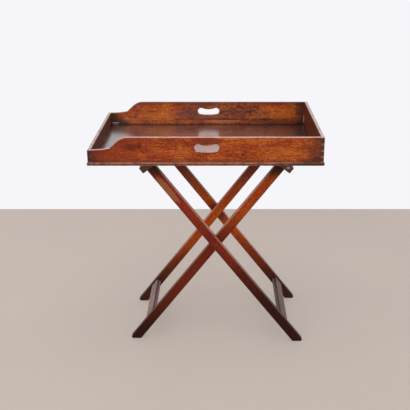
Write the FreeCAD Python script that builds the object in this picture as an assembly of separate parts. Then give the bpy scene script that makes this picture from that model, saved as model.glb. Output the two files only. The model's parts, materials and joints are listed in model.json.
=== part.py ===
import FreeCAD, Part
import math
import os

from FreeCAD import Vector

# Butler's tray on a folding stand: a dovetailed mahogany tray with one low end, resting on two leg frames
# that cross on pivot pins and are held open by two webbing straps.
# Millimetres, +Z up. The origin is on the floor under the middle of the tray, and the front faces -Y.

# Tray
tray_length = 840.0
tray_depth = 550.0
board_thickness = 12.0
board_height = 92.0
low_end_height = 45.5
rim_radius = 2.0
base_thickness = 12.5
base_projection = 4.0
base_corner_radius = 5.0
base_edge_radius = 4.5
nose_limit_share = 0.85

# Drop of the side boards to the low end
low_run = 80.0
low_run_rise = 6.0
low_run_level_share = 0.5
low_run_radius = 300.0
kink_radius = 8.0
slope_angle = 42.5
crest_radius = 60.0

# Hand holes
hand_hole_length = 90.0
hand_hole_height = 30.0
hand_hole_end_radius = 14.0
hand_hole_dip = 6.0
hand_hole_centre_height = 52.0
hand_hole_offset = 4.0
hand_hole_edge_radius = 2.0
hand_hole_round_share = 0.48

# Dovetails: the end boards carry the pins, with half pins at the foot and the rim
dovetail_tip_height = 6.0
dovetail_flare = 1.7
high_end_dovetail_shares = (0.0, 0.22, 0.465, 0.72, 1.0)
low_end_dovetail_shares = (0.0, 0.5, 1.0)

# Screws that hold the base
screw_shank_radius = 2.0
screw_head_radius = 4.2
screw_head_depth = 2.6
screw_length = 28.0
screw_end_distance = 62.0
long_side_screws = 6
short_side_screws = 3

# Stand
stand_height = 771.5
stand_depth = 386.0
stand_offset = 38.0
pivot_height = 425.0
leg_lean = 37.75
leg_width = 36.0
leg_thickness = 22.0
leg_edge_radius = 2.0
toe_radius = 7.0
frame_gap = 1.0

# Top rails
rail_width = 66.0
rail_thickness = 25.0
rail_overhang = 18.0
rail_end_projection = 3.0
rail_edge_radius = 2.0
bearing_cut = 4.0
rail_tenon_width = 24.0
rail_tenon_thickness = 10.0
rail_tenon_length = 18.0

# Stretchers
stretcher_width = 43.0
stretcher_thickness = 19.5
stretcher_height = 85.0
stretcher_setback = 5.5
stretcher_edge_radius = 1.5
stretcher_tenon_width = 30.0
stretcher_tenon_thickness = 10.0
stretcher_tenon_length = 14.0

# Pivots
pin_radius = 4.0
pin_head_radius = 5.5
pin_head_depth = 3.0
pin_reach_share = 0.75
pin_end_clearance = 0.2
washer_radius = 12.0

# Straps and their tacks
strap_width = 50.0
strap_thickness = 2.0
strap_spacing = 190.0
strap_lap = 40.0
strap_recess = 0.4
strap_side_clearance = 0.5
tack_shank_radius = 0.9
tack_shank_length = 11.0
tack_head_radius = 4.0
tack_head_height = 1.6
tack_rim_share = 0.35
tack_crown_share = 0.5
tack_point_share = 0.25
tack_row_distance = 10.0
tack_side_distance = 7.0
tacks_per_end = 4

# Fits and cutting
fixed_clearance = 0.02
running_clearance = 0.05
overrun = 5.0
touch = 0.001

# Values that follow from the sizes above
base_top = stand_height + base_thickness
nose_limit = min(base_thickness / 2, base_corner_radius) * nose_limit_share
nose_radius = min(base_edge_radius, nose_limit)
half_length = tray_length / 2
half_depth = tray_depth / 2
inner_half_length = half_length - board_thickness
inner_half_depth = half_depth - board_thickness
lean = math.radians(leg_lean)
half_leg = leg_width / 2
outer_face = stand_depth / 2
outer_back = outer_face - leg_thickness
inner_face = outer_back - frame_gap
inner_back = inner_face - leg_thickness
rail_outer = half_leg + rail_overhang
rail_inner = rail_width - rail_outer
rail_half = outer_face + rail_end_projection
bearing_rise = stand_height - pivot_height
rail_top = (bearing_rise + bearing_cut - rail_inner * math.sin(lean)) / math.cos(lean)
rail_bottom = rail_top - rail_thickness
bearing_across = (bearing_rise - rail_top * math.cos(lean)) / math.sin(lean)
bearing_along = (bearing_rise - rail_inner * math.sin(lean)) / math.cos(lean)
strap_depth = strap_thickness + strap_recess
lap_across = bearing_across - strap_lap

# A frame leans left (-1, the outer frame) or right (+1, the inner frame) above the pivot
OUTER = -1
INNER = 1


def frame_point(side, across, along, y):
    """A point of a leg frame: along the leg up from the pivot, across it towards the other frame's top."""
    x = stand_offset + side * (along * math.sin(lean) - across * math.cos(lean))
    z = pivot_height + along * math.cos(lean) + across * math.sin(lean)
    return Vector(x, y, z)


def along_at_height(across, height):
    """How far along the leg a line at this place across it reaches a height above the floor."""
    return (height - pivot_height - across * math.sin(lean)) / math.cos(lean)


def rounded_face(corners, place):
    """A face whose corners (u, v, radius) are joined by lines, each corner rounded by its radius."""
    ends = []
    count = len(corners)
    for i in range(count):
        u, v, radius = corners[i]
        here = Vector(u, v, 0)
        back = (Vector(*corners[i - 1][:2], 0) - here).normalize()
        ahead = (Vector(*corners[(i + 1) % count][:2], 0) - here).normalize()
        half_angle = back.getAngle(ahead) / 2
        setback = radius / math.tan(half_angle)
        middle = here + (back + ahead).normalize() * (radius / math.sin(half_angle) - radius)
        ends.append((here + back * setback, middle, here + ahead * setback))
    edges = []
    for i in range(count):
        start, middle, end = [place(point.x, point.y) for point in ends[i]]
        if corners[i][2] > 0:
            edges.append(Part.Arc(start, middle, end).toShape())
        following = ends[(i + 1) % count][0]
        edges.append(Part.LineSegment(end, place(following.x, following.y)).toShape())
    return Part.Face(Part.Wire(edges))


def slab(corners, y_from, y_to):
    """A prism along Y, from an outline of (x, z, radius) corners."""
    face = rounded_face(corners, lambda x, z: Vector(x, y_from, z))
    return face.extrude(Vector(0, y_to - y_from, 0))


def frame_slab(side, corners, y_from, y_to):
    """A prism along Y, from an outline of (across, along, radius) corners in a leg frame."""
    face = rounded_face(corners, lambda across, along: frame_point(side, across, along, y_from))
    return face.extrude(Vector(0, y_to - y_from, 0))


def box_corners(u_from, u_to, v_from, v_to, radius=0.0):
    """The corners of a rectangle, all with one radius."""
    return [(u_from, v_from, radius), (u_to, v_from, radius), (u_to, v_to, radius), (u_from, v_to, radius)]


def turned(profile, origin, axis):
    """A solid turned about an axis, from (radius, height) points that start and end at radius 0."""
    points = [Vector(radius, 0, height) for radius, height in profile]
    face = Part.Face(Part.makePolygon(points + points[:1]))
    solid = face.revolve(Vector(0, 0, 0), Vector(0, 0, 1), 360)
    solid.Placement = FreeCAD.Placement(origin, FreeCAD.Rotation(Vector(0, 0, 1), axis))
    return solid


def ring(inner_radius, outer_radius, thickness, origin, axis):
    """A flat washer whose first face is at origin."""
    disc = Part.makeCylinder(outer_radius, thickness, origin, axis)
    start = origin - axis * overrun
    return disc.cut(Part.makeCylinder(inner_radius, thickness + 2 * overrun, start, axis))


def save(name, shape):
    """Write one piece."""
    shape.exportStep(os.path.join("parts", name + ".step"))


# Tray


def side_board_face_corners():
    """The outline of a long side board: level top, crest, slope and the low run at the left end."""
    kink_x = -half_length + low_run
    kink_z = base_top + low_end_height + low_run_rise
    top = base_top + board_height
    crest_x = kink_x + (top - kink_z) / math.tan(math.radians(slope_angle))
    return [
        (-half_length, base_top, 0.0),
        (half_length, base_top, 0.0),
        (half_length, top, 0.0),
        (crest_x, top, crest_radius),
        (kink_x, kink_z, kink_radius),
        (-half_length + low_run * low_run_level_share, base_top + low_end_height, low_run_radius),
        (-half_length, base_top + low_end_height, 0.0),
    ]


def hand_hole(y_from, y_to):
    """The cutter of a kidney hand hole: round ends, a bowed lower edge and a dip in the upper edge."""
    r = min(hand_hole_end_radius, hand_hole_height * hand_hole_round_share)
    end_x = hand_hole_length / 2 - r
    end_z = hand_hole_height / 2 - r
    dip_z = hand_hole_height / 2 - hand_hole_dip
    low_z = -hand_hole_height / 2
    dip_rise = dip_z - end_z
    low_rise = low_z - end_z
    dip_radius = (end_x ** 2 + dip_rise ** 2 - r ** 2) / (2 * (r - dip_rise))
    low_radius = -(end_x ** 2 + low_rise ** 2 - r ** 2) / (2 * (r + low_rise))
    centre_z = base_top + hand_hole_centre_height

    def at(x, z):
        return Vector(hand_hole_offset + x, y_from, centre_z + z)

    def tangent(sign, centre_height):
        away = Vector(-sign * end_x, 0, centre_height - end_z).normalize()
        return Vector(sign * end_x, 0, end_z) + away * r

    upper_left = tangent(-1, dip_z + dip_radius)
    upper_right = tangent(1, dip_z + dip_radius)
    below = low_z + low_radius
    out_left = Vector(-end_x, 0, end_z - below).normalize()
    lower_left = Vector(0, 0, below) + out_left * low_radius
    lower_right = Vector(-lower_left.x, 0, lower_left.z)
    half = hand_hole_length / 2
    arcs = [
        (upper_right, Vector(0, 0, dip_z), upper_left),
        (upper_left, Vector(-half, 0, end_z), lower_left),
        (lower_left, Vector(0, 0, low_z), lower_right),
        (lower_right, Vector(half, 0, end_z), upper_right),
    ]
    edges = [Part.Arc(*[at(p.x, p.z) for p in arc]).toShape() for arc in arcs]
    return Part.Face(Part.Wire(edges)).extrude(Vector(0, y_to - y_from, 0))


def dovetail_pins(end, height, shares):
    """The cutters of one end's dovetail sockets (-1 left, +1 right), also the shape of its pins."""
    root_x = end * inner_half_length
    tip_x = end * (half_length + overrun)
    root = dovetail_tip_height / 2 + dovetail_flare
    tip = dovetail_tip_height / 2 - dovetail_flare * overrun / board_thickness
    pins = []
    for share in shares:
        z = base_top + height * share
        low = [(root_x, z - root, 0.0), (tip_x, z - tip, 0.0)]
        high = [(tip_x, z + tip, 0.0), (root_x, z + root, 0.0)]
        pins.append(slab(low + high, -half_depth - overrun, half_depth + overrun))
    return pins


def screw_places():
    """The places of the base screws, under the middle of each board's thickness."""
    middle_y = half_depth - board_thickness / 2
    middle_x = half_length - board_thickness / 2
    places = []
    long_span = tray_length - 2 * screw_end_distance
    short_span = tray_depth - 2 * screw_end_distance
    for i in range(long_side_screws):
        x = -long_span / 2 + long_span * i / (long_side_screws - 1)
        places += [(x, -middle_y), (x, middle_y)]
    for i in range(short_side_screws):
        y = -short_span / 2 + short_span * i / (short_side_screws - 1)
        places += [(-middle_x, y), (middle_x, y)]
    return places


def screw(x, y, clearance=0.0):
    """A countersunk screw, head flush with the underside of the base, or the hole that takes it."""
    head = screw_head_radius + clearance
    shank = screw_shank_radius + clearance
    end = screw_length + clearance
    profile = [(0, 0), (head, 0), (shank, screw_head_depth), (shank, end - shank), (0, end)]
    return turned(profile, Vector(x, y, stand_height), Vector(0, 0, 1))


def board_blank(y_from, y_to):
    """A front or back board before the dovetails are cut: rounded rim."""
    board = slab(side_board_face_corners(), y_from, y_to)
    return board.makeFillet(rim_radius, rim_edges(board, y_from, y_to))


def long_board(y_from, y_to):
    """A front or back board: rounded rim, hand hole, sockets for the pins of both ends."""
    board = board_blank(y_from, y_to).cut(hand_hole(y_from - overrun, y_to + overrun))
    board = board.makeFillet(hand_hole_edge_radius, hole_edges(board))
    for end, height, shares in ends_of_tray():
        for pin in dovetail_pins(end, height, shares):
            board = board.cut(pin)
    for x, y in screw_places():
        board = board.cut(screw(x, y, fixed_clearance))
    return board


def rim_edges(board, y_from, y_to):
    """The upper edges of a board along its two faces and over its two ends."""
    chosen = []
    for edge in board.Edges:
        box = edge.BoundBox
        middle = edge.CenterOfMass
        on_face = box.YLength < touch and min(abs(middle.y - y_from), abs(middle.y - y_to)) < touch
        on_end = box.XLength < touch and abs(abs(middle.x) - half_length) < touch
        if on_face != on_end and middle.z > base_top + touch:
            chosen.append(edge)
    return chosen


def hole_edges(board):
    """The edges of the openings in a board's faces."""
    inner_wires = []
    for face in board.Faces:
        inner_wires += [wire for wire in face.Wires if not wire.isSame(face.OuterWire)]
    return [edge for wire in inner_wires for edge in wire.Edges]


def ends_of_tray():
    """Each end of the tray: its direction along X, its height and the places of its pins."""
    low_end = (-1, low_end_height, low_end_dovetail_shares)
    high_end = (1, board_height, high_end_dovetail_shares)
    return [low_end, high_end]


def end_board(end, height, shares):
    """A low or high end board: rounded rim, and pins that fill the sockets of both long boards."""
    x_from = min(end * inner_half_length, end * half_length)
    x_to = x_from + board_thickness
    top = base_top + height
    foot = [(x_from, base_top, 0.0), (x_to, base_top, 0.0)]
    rim = [(x_to, top, rim_radius), (x_from, top, rim_radius)]
    board = slab(foot + rim, -inner_half_depth, inner_half_depth)
    front_blank = board_blank(-half_depth, -inner_half_depth)
    back_blank = board_blank(inner_half_depth, half_depth)
    for pin in dovetail_pins(end, height, shares):
        board = board.fuse(front_blank.common(pin)).fuse(back_blank.common(pin))
    for x, y in screw_places():
        board = board.cut(screw(x, y, fixed_clearance))
    return board.removeSplitter()


def tray_base():
    """The base: one board with a rounded edge that stands proud of the sides."""
    half_x = half_length + base_projection
    half_y = half_depth + base_projection
    corners = box_corners(-half_x, half_x, -half_y, half_y, base_corner_radius)
    face = rounded_face(corners, lambda x, y: Vector(x, y, stand_height))
    base = face.extrude(Vector(0, 0, base_thickness))
    rims = [edge for edge in base.Edges if edge.BoundBox.ZLength < touch]
    base = base.makeFillet(nose_radius, rims)
    for x, y in screw_places():
        base = base.cut(screw(x, y, fixed_clearance))
    return base


# Stand


def leg(side, y_from, y_to):
    """A leg: softened long edges, foot cut level with the floor, rounded toe, tenon at the top."""
    toe = along_at_height(half_leg, 0.0)
    heel = along_at_height(-half_leg, 0.0)
    middle_y = (y_from + y_to) / 2
    section = box_corners(-half_leg, half_leg, y_from, y_to, leg_edge_radius)
    face = rounded_face(section, lambda across, y: frame_point(side, across, rail_bottom, y))
    down = frame_point(side, 0, toe - overrun, 0) - frame_point(side, 0, rail_bottom, 0)
    outline = [
        (-half_leg, rail_bottom, 0.0),
        (half_leg, rail_bottom, 0.0),
        (half_leg, toe, toe_radius),
        (-half_leg, heel, 0.0),
    ]
    solid = face.extrude(down).common(frame_slab(side, outline, y_from, y_to))
    return solid.fuse(rail_tenon(side, middle_y)).removeSplitter()


def rail_tenon(side, middle_y):
    """The tenon of a leg in its top rail, which is also the mortise there."""
    half = rail_tenon_width / 2
    corners = box_corners(-half, half, rail_bottom, rail_bottom + rail_tenon_length)
    half_thickness = rail_tenon_thickness / 2
    return frame_slab(side, corners, middle_y - half_thickness, middle_y + half_thickness)


def strap_places():
    """The middle of each strap along Y, front first."""
    return [-strap_spacing / 2, strap_spacing / 2]


def strap_line(depth):
    """The lap and corner of a line at a depth below a rail's top and bearing flat: (across, along) pairs."""
    along = rail_top - depth
    across = (bearing_rise - depth - along * math.cos(lean)) / math.sin(lean)
    return [(lap_across, along), (across, along)]


def strap_housing(side, middle_y):
    """The cutter of a strap's housing over the top and the bearing flat of a rail."""
    half = strap_width / 2 + strap_side_clearance
    lap, corner = strap_line(strap_depth)
    out_across = rail_inner + overrun
    corners = [
        (*lap, 0.0),
        (*corner, 0.0),
        (out_across, along_at_height(out_across, stand_height - strap_depth), 0.0),
        (out_across, along_at_height(out_across, stand_height + rail_thickness), 0.0),
        (lap_across, rail_top + rail_thickness, 0.0),
    ]
    return frame_slab(side, corners, middle_y - half, middle_y + half)


def top_rail(side, leg_middles):
    """A top rail: its inner top corner is planed level for the tray, with housings for the straps."""
    corners = [
        (-rail_outer, rail_bottom, rail_edge_radius),
        (rail_inner, rail_bottom, rail_edge_radius),
        (rail_inner, bearing_along, 0.0),
        (bearing_across, rail_top, 0.0),
        (-rail_outer, rail_top, rail_edge_radius),
    ]
    rail = frame_slab(side, corners, -rail_half, rail_half)
    for middle_y in leg_middles:
        rail = rail.cut(rail_tenon(side, middle_y))
    for middle_y in strap_places():
        rail = rail.cut(strap_housing(side, middle_y))
    for hole in tacks(side, fixed_clearance):
        rail = rail.cut(hole)
    return rail


def stretcher_corners(width, thickness, radius):
    """The section of a stretcher, or of its tenon, about the middle of the stretcher."""
    middle_across = half_leg - stretcher_setback - stretcher_thickness / 2
    middle_along = along_at_height(middle_across, stretcher_height)
    half_width = width / 2
    half_thickness = thickness / 2
    return box_corners(middle_across - half_thickness, middle_across + half_thickness,
                       middle_along - half_width, middle_along + half_width, radius)


def stretcher_tenons(side, leg_face):
    """The tenon bar that runs through a stretcher and into the legs whose inner faces are at leg_face."""
    reach = leg_face + stretcher_tenon_length
    corners = stretcher_corners(stretcher_tenon_width, stretcher_tenon_thickness, 0.0)
    return frame_slab(side, corners, -reach, reach)


def stretcher(side, leg_face):
    """A stretcher between the legs, with a tenon at each end."""
    body = frame_slab(side, stretcher_corners(stretcher_width, stretcher_thickness, stretcher_edge_radius),
                      -leg_face, leg_face)
    return body.fuse(stretcher_tenons(side, leg_face)).removeSplitter()


# Pivots: each pin is fixed in an outer leg and runs in a blind hole of the inner leg


def pin_start(end):
    """The middle of a pivot pin's flush head, at the front (-1) or the rear (+1)."""
    return Vector(stand_offset, end * outer_face, pivot_height)


def pivot_pin(end, clearance=0.0):
    """A pivot pin with a flush countersunk head, or the hole that takes it in the outer leg."""
    shank = pin_radius + clearance
    length = leg_thickness + frame_gap + leg_thickness * pin_reach_share
    head = [(0, 0), (pin_head_radius + clearance, 0), (shank, pin_head_depth)]
    profile = head + [(shank, length), (0, length)]
    return turned(profile, pin_start(end), Vector(0, -end, 0))


def pivot_hole(end):
    """The blind running hole of a pivot pin in the inner leg."""
    inwards = Vector(0, -end, 0)
    start = pin_start(end) + inwards * leg_thickness
    depth = frame_gap + leg_thickness * pin_reach_share + pin_end_clearance
    return Part.makeCylinder(pin_radius + running_clearance, depth, start, inwards)


def spacer_washer(end):
    """The washer between the crossing legs."""
    inwards = Vector(0, -end, 0)
    start = pin_start(end) + inwards * leg_thickness
    return ring(pin_radius + fixed_clearance, washer_radius, frame_gap, start, inwards)


# Straps


def strap(middle_y):
    """A webbing strap, tacked over both rails and taut between them."""
    under = strap_line(strap_depth)
    over = strap_line(strap_recess)
    half = strap_width / 2

    def at(side, place):
        return frame_point(side, *place, middle_y - half)

    ring_of_points = [at(OUTER, p) for p in under]
    ring_of_points += [at(INNER, p) for p in reversed(under)]
    ring_of_points += [at(INNER, p) for p in over]
    ring_of_points += [at(OUTER, p) for p in reversed(over)]
    face = Part.Face(Part.makePolygon(ring_of_points + ring_of_points[:1]))
    band = face.extrude(Vector(0, strap_width, 0))
    for side in (OUTER, INNER):
        for hole in tacks(side, fixed_clearance):
            band = band.cut(hole)
    return band


def tack(side, y, clearance=0.0):
    """A domed tack driven through a strap into a rail, or the hole of its shank."""
    seat = frame_point(side, lap_across + tack_row_distance, rail_top - strap_recess, y)
    into_rail = frame_point(side, 0, 0, 0) - frame_point(side, 0, 1, 0)
    shank = tack_shank_radius + clearance
    point = tack_shank_length + clearance
    head = [
        (0, -tack_head_height),
        (tack_head_radius * tack_crown_share, -tack_head_height),
        (tack_head_radius, -tack_head_height * tack_rim_share),
        (tack_head_radius, 0),
    ]
    start = [(0, 0)] if clearance else head
    profile = start + [(shank, 0), (shank, point - tack_shank_length * tack_point_share), (0, point)]
    return turned(profile, seat, into_rail)


def tacks(side, clearance=0.0):
    """All tacks of one rail, or their holes."""
    span = strap_width - 2 * tack_side_distance
    row = [-span / 2 + span * i / (tacks_per_end - 1) for i in range(tacks_per_end)]
    return [tack(side, middle_y + y, clearance) for middle_y in strap_places() for y in row]


def build_tray():
    """Write the pieces of the tray."""
    save("tray_base", tray_base())
    save("front_board", long_board(-half_depth, -inner_half_depth))
    save("back_board", long_board(inner_half_depth, half_depth))
    for name, (end, height, shares) in zip(("low_end_board", "high_end_board"), ends_of_tray()):
        save(name, end_board(end, height, shares))
    save("base_screws", Part.makeCompound([screw(x, y) for x, y in screw_places()]))


def build_frame(name, side, leg_outside, leg_inside):
    """Write the legs, rail, stretcher and tacks of one leg frame."""
    middles = []
    for place, end in (("front", -1), ("rear", 1)):
        y_from = min(end * leg_outside, end * leg_inside)
        solid = leg(side, y_from, y_from + leg_thickness).cut(stretcher_tenons(side, leg_inside))
        hole = pivot_pin(end, fixed_clearance) if side == OUTER else pivot_hole(end)
        save(name + "_" + place + "_leg", solid.cut(hole))
        middles.append(y_from + leg_thickness / 2)
    save(name + "_top_rail", top_rail(side, middles))
    save(name + "_stretcher", stretcher(side, leg_inside))
    save(name + "_strap_tacks", Part.makeCompound(tacks(side)))


def build_pivots():
    """Write the pins and washers of both pivots."""
    for place, end in (("front", -1), ("rear", 1)):
        save(place + "_pivot_pin", pivot_pin(end))
        save(place + "_spacer_washer", spacer_washer(end))


def build_straps():
    """Write both straps."""
    for place, middle_y in zip(("front", "rear"), strap_places()):
        save(place + "_strap", strap(middle_y))


os.makedirs("parts", exist_ok=True)
build_tray()
build_frame("outer", OUTER, outer_face, outer_back)
build_frame("inner", INNER, inner_face, inner_back)
build_pivots()
build_straps()
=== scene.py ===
"""Looks of a butler's tray on its folding stand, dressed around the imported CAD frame.

Everything is in metres in the frame's own axes: +Z up, the low end of the tray at -X, the front at -Y.
The wooden and metal pieces keep their CAD meshes and get finishes, and the two straps are new woven bands.
"""

import json
import logging
import math
from dataclasses import dataclass, replace
from enum import Enum
from typing import Any

import bpy
import numpy as np
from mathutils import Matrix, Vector


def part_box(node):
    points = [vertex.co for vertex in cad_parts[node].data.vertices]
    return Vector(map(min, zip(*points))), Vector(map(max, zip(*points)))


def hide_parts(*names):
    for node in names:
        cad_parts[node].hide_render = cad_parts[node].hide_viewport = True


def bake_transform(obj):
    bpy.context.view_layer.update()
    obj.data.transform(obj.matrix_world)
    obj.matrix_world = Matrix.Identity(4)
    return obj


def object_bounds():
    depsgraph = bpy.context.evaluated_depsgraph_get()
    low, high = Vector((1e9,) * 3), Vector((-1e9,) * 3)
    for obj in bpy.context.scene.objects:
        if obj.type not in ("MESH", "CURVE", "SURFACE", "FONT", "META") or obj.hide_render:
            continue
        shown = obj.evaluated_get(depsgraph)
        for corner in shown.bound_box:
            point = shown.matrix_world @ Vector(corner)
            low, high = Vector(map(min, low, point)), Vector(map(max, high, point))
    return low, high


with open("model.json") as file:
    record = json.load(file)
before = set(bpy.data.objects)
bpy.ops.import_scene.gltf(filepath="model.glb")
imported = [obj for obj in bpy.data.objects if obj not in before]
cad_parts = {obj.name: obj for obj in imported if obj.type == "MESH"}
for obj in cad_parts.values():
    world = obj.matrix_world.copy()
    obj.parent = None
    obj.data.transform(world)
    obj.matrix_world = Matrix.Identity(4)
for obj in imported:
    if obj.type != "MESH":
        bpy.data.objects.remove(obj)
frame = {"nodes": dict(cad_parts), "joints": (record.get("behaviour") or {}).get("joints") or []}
CAD_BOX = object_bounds()

LOG = logging.getLogger("butlers_tray")
MM = 0.001
# The first joint is the hinge of the stand
PIVOT = Vector(frame["joints"][0]["pos_m"])
# How far the legs lean from upright, and their width across that lean
LEG_LEAN = math.radians(37.75)
LEG_WIDTH = 36 * MM
# Reach of a mark that goes through the whole stand from front to back
THROUGH = 1.0

Tree = bpy.types.NodeTree
# Settings of nodes that a finish uses unless it says otherwise: noise with a seed, and soft steps
USUAL = {
    "ShaderNodeTexNoise": {"noise_dimensions": "4D"},
    "ShaderNodeMapRange": {"interpolation_type": "SMOOTHSTEP"},
}
# Sockets of a Mix node that blends colours, which share their names with its other sockets
MIX_FACTOR, MIX_A, MIX_B, MIX_RESULT = 0, 6, 7, 2


def linear(colour: str) -> tuple[float, float, float, float]:
    """Turns an sRGB hex colour into linear light by the curve of that standard.

    Args:
        colour: Six hex digits after a hash sign.

    Returns:
        Red, green, blue and an alpha of 1.
    """
    parts = [int(colour[i : i + 2], 16) / 255 for i in (1, 3, 5)]
    red, green, blue = [c / 12.92 if c <= 0.04045 else ((c + 0.055) / 1.055) ** 2.4 for c in parts]
    return red, green, blue, 1.0


def add_node(
    tree: Tree, kind: str, inputs: dict[str | int, Any] | None = None, out: str | int = 0, **settings: Any
) -> bpy.types.NodeSocket | None:
    """Adds one node with its settings and links.

    Args:
        tree: Node tree that gets the node.
        kind: Blender's name of the node type.
        inputs: For each socket, its value or the output that it is linked from.
        out: Output to hand back, by name or number.
        settings: Properties of the node, set before its sockets and after the usual ones.

    Returns:
        The chosen output, or None for a node that has none.
    """
    node = tree.nodes.new(kind)
    for name, value in {**USUAL.get(kind, {}), **settings}.items():
        setattr(node, name, value)
    for socket, value in (inputs or {}).items():
        if isinstance(value, bpy.types.NodeSocket):
            tree.links.new(value, node.inputs[socket])
        else:
            node.inputs[socket].default_value = value
    return node.outputs[out] if len(node.outputs) else None


def cover(tree: Tree, colour: Any, layers: list[tuple[Any, str]]) -> Any:
    """Lays colours over one another.

    Args:
        tree: Node tree of the finish.
        colour: Colour below in linear light, or the output with it.
        layers: For each layer, the output with its share and its colour.

    Returns:
        The output with the covered colour.
    """
    for share, layer in layers:
        colour = add_node(
            tree, "ShaderNodeMix", {MIX_FACTOR: share, MIX_A: colour, MIX_B: linear(layer)},
            out=MIX_RESULT, data_type="RGBA",
        )
    return colour


def end_finish(tree: Tree, height: Any, relief: float, relief_mm: float, sockets: dict[str, Any]) -> None:
    """Ends a finish with its relief, its shader and its output.

    Args:
        tree: Node tree of the finish.
        height: Output with the height of the relief.
        relief: Strength of the bump that the relief gives.
        relief_mm: Depth of that bump.
        sockets: Sockets of the shader apart from its normal.
    """
    depth = relief_mm * MM
    bump = add_node(tree, "ShaderNodeBump", {"Strength": relief, "Distance": depth, "Height": height})
    shader = add_node(tree, "ShaderNodeBsdfPrincipled", {**sockets, "Normal": bump})
    add_node(tree, "ShaderNodeOutputMaterial", {"Surface": shader})


def empty_material(name: str) -> bpy.types.Material:
    """Makes a material whose node tree is empty.

    Args:
        name: Name of the material.

    Returns:
        The new material.
    """
    made = bpy.data.materials.new(name)
    made.use_nodes = True
    made.node_tree.nodes.clear()
    return made


def dress_node(node: str, material: bpy.types.Material) -> None:
    """Puts a finish on a CAD piece.

    Args:
        node: Name of the CAD node.
        material: Finish for all its faces.
    """
    slots = frame["nodes"][node].data.materials
    slots.clear()
    slots.append(material)
    LOG.info("dressed %s in %s", node, material.name)


@dataclass(frozen=True)
class Band:
    """A range of values over which a share rises from nothing to its most.

    Attributes:
        start: Value where the share begins.
        full: Value where it is full.
        most: The full share.
    """

    start: float
    full: float
    most: float = 1.0

    def inputs(self, value: Any) -> dict[str, Any]:
        """Gives the sockets of a Map Range node that reads the value from an output."""
        return {"Value": value, "From Min": self.start, "From Max": self.full, "To Max": self.most}


class Fibre(Enum):
    """Which way the fibres of a wooden piece run."""

    ALONG_X = "along the tray"
    ALONG_Y = "from front to back"
    OUTER_LEG = "up along the outer legs"
    INNER_LEG = "up along the inner legs"

    def direction(self) -> Vector:
        """Gives the direction of the fibres."""
        if self is Fibre.ALONG_X:
            return Vector((1, 0, 0))
        if self is Fibre.ALONG_Y:
            return Vector((0, 1, 0))
        side = -1 if self is Fibre.OUTER_LEG else 1
        return Vector((side * math.sin(LEG_LEAN), 0, math.cos(LEG_LEAN)))

    def turn(self) -> tuple[float, float, float]:
        """Gives the rotation that takes the X axis to the fibres: about Z for rails, about Y for legs."""
        if self is Fibre.ALONG_Y:
            return 0.0, 0.0, math.radians(90)
        along = self.direction()
        return 0.0, -math.atan2(along.z, along.x), 0.0


@dataclass(frozen=True, kw_only=True)
class Mark:
    """A change of colour, in the polish or as painted light or shade, that ends in a ragged edge.

    Attributes:
        colour: Colour of the mark.
        strength: Share of that colour where the mark is full.
        ragged: How far its edge wanders, as a share of its reach.
        grain_mm: Size of the bays and tongues of its edge.
        streak_mm: Width of the streaks that it is made of, or 0 for an even mark.
        edge: Share of its reach over which it fades out.
        dull: Share of the wax that it takes away where it is full.
    """

    colour: str
    strength: float = 0.6
    ragged: float = 0.3
    grain_mm: float = 16.0
    streak_mm: float = 0.0
    edge: float = 0.6
    dull: float = 0.0

    # Noise keeps close to its middle, so its swing is widened by this
    SWING = 4.0
    # Width of a streak as a share of its length, and the noise where streaks stand
    STREAK_DRAW = 0.14
    STREAKS = Band(0.4, 0.56)

    def spread(self, tree: Tree, place: Any) -> Any:
        """Measures how far out in the mark a place lies, from 0 where it is full to 1 where it ends."""
        raise NotImplementedError

    def share(self, tree: Tree, place: Any, seed: float) -> Any:
        """Draws the share of the mark, which falls with the spread, while noise shifts that to and fro.

        Args:
            tree: Node tree of the finish.
            place: Output with Object coordinates.
            seed: Shift of the noise.

        Returns:
            The output with the share of the mark.
        """
        wander = add_node(
            tree, "ShaderNodeTexNoise",
            {"Vector": place, "W": seed, "Scale": 1 / (self.grain_mm * MM), "Detail": 3.0, "Roughness": 0.6},
        )
        swing = self.SWING * self.ragged
        shift = add_node(
            tree, "ShaderNodeMath", {0: wander, 1: swing, 2: -swing / 2}, operation="MULTIPLY_ADD"
        )
        reached = add_node(tree, "ShaderNodeMath", {0: self.spread(tree, place), 1: shift}, operation="ADD")
        fading = Band(1.0, 1.0 - self.edge, self.strength)
        share = add_node(tree, "ShaderNodeMapRange", fading.inputs(reached))
        if not self.streak_mm:
            return share
        drawn = add_node(
            tree, "ShaderNodeVectorMath", {0: place, 1: (self.STREAK_DRAW / MM, 1 / MM, 1 / MM)},
            operation="MULTIPLY",
        )
        noise = add_node(
            tree, "ShaderNodeTexNoise",
            {"Vector": drawn, "W": seed, "Scale": 1 / self.streak_mm, "Detail": 3.0},
        )
        streaks = add_node(tree, "ShaderNodeMapRange", self.STREAKS.inputs(noise))
        return add_node(tree, "ShaderNodeMath", {0: share, 1: streaks}, operation="MULTIPLY")


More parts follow.
